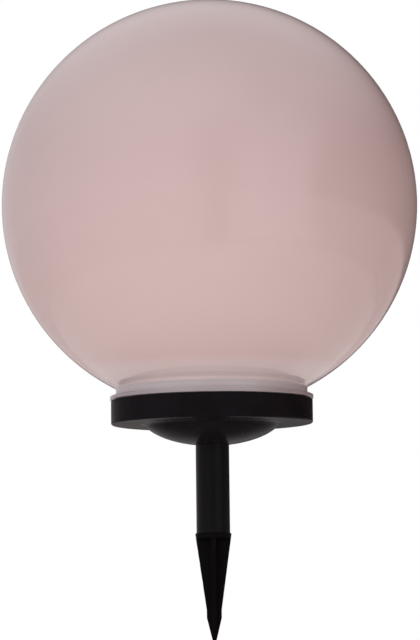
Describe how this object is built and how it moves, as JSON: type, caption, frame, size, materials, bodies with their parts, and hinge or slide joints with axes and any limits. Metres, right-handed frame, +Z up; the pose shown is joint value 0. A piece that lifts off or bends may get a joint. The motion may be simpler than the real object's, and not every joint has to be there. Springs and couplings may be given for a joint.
{
  "type": "garden globe light",
  "caption": "Solar garden globe light: a lacquered clear globe that turns off a black domed base, on a stem tube and a ribbed ground spike.",
  "frame": {"origin": "on the stem's axis at ground level, at the top of the spike's collar", "axes": "+Z up along the stem's axis; the picture looks along +Y from slightly below, with +X to its right"},
  "size_m": [0.3, 0.3, 0.4618],
  "materials": {
    "black_plastic": "moulded, fine grain, slight sheen",
    "black_tube": "extruded, fine lengthwise drawing lines",
    "deck_plastic": "moulded white",
    "screw_steel": "zinc plated",
    "seal_rubber": "matte",
    "globe_acrylic": "clear gloss outside, frosted pinkish grey lacquer inside",
    "board_green": "lacquered board",
    "cell_blue": "dark blue cells with fine fingers",
    "panel_resin": "clear cast resin",
    "led_epoxy": "clear epoxy",
    "black_part": "moulded chip",
    "copper_coil": "enamelled copper",
    "capacitor_sleeve": "shrink sleeve",
    "battery_sleeve": "shrink sleeve",
    "holder_plastic": "moulded",
    "contact_nickel": "nickel plated",
    "plunger_plastic": "moulded white",
    "lead_red": "insulated lead",
    "lead_black": "insulated lead"
  },
  "bodies": {
    "spike": {"ground_spike": "black_plastic"},
    "stem": {"stem_tube": "black_tube"},
    "base": {"base_housing": "black_plastic", "deck_plate": "deck_plastic", "deck_screws": "screw_steel", "board_screws": "screw_steel", "holder_screws": "screw_steel", "panel_board": "board_green", "solar_cells": "cell_blue", "panel_resin": "panel_resin", "circuit_board": "board_green", "leds": "led_epoxy", "charge_chip": "black_part", "inductor": "copper_coil", "capacitor": "capacitor_sleeve", "battery": "battery_sleeve", "battery_holder": "holder_plastic", "contact_plus": "contact_nickel", "contact_minus": "contact_nickel", "switch_body": "holder_plastic", "switch_boot": "seal_rubber", "leads_red": "lead_red", "leads_black": "lead_black"},
    "globe": {"globe": "globe_acrylic", "seal_ring": "seal_rubber"},
    "switch_plunger": {"switch_plunger": "plunger_plastic"}
  },
  "joints": [
    {"name": "stem_pull", "type": "slide", "parent": "spike", "child": "stem", "axis": [0, 0, 1], "range_m": [0, 0.04]},
    {"name": "base_pull", "type": "slide", "parent": "stem", "child": "base", "axis": [0, 0, 1], "range_m": [0, 0.04]},
    {"name": "globe_turn", "type": "hinge", "parent": "base", "child": "globe", "pos_m": [0, 0, 0.095], "axis": [0, 0, 1], "range_deg": [0, 24]},
    {"name": "switch_press", "type": "slide", "parent": "base", "child": "switch_plunger", "axis": [0, 0, 1], "range_m": [0, 0.0015], "stiffness_N_per_m": 600, "springref_m": -0.001, "deforming": ["switch_boot"]}
  ]
}
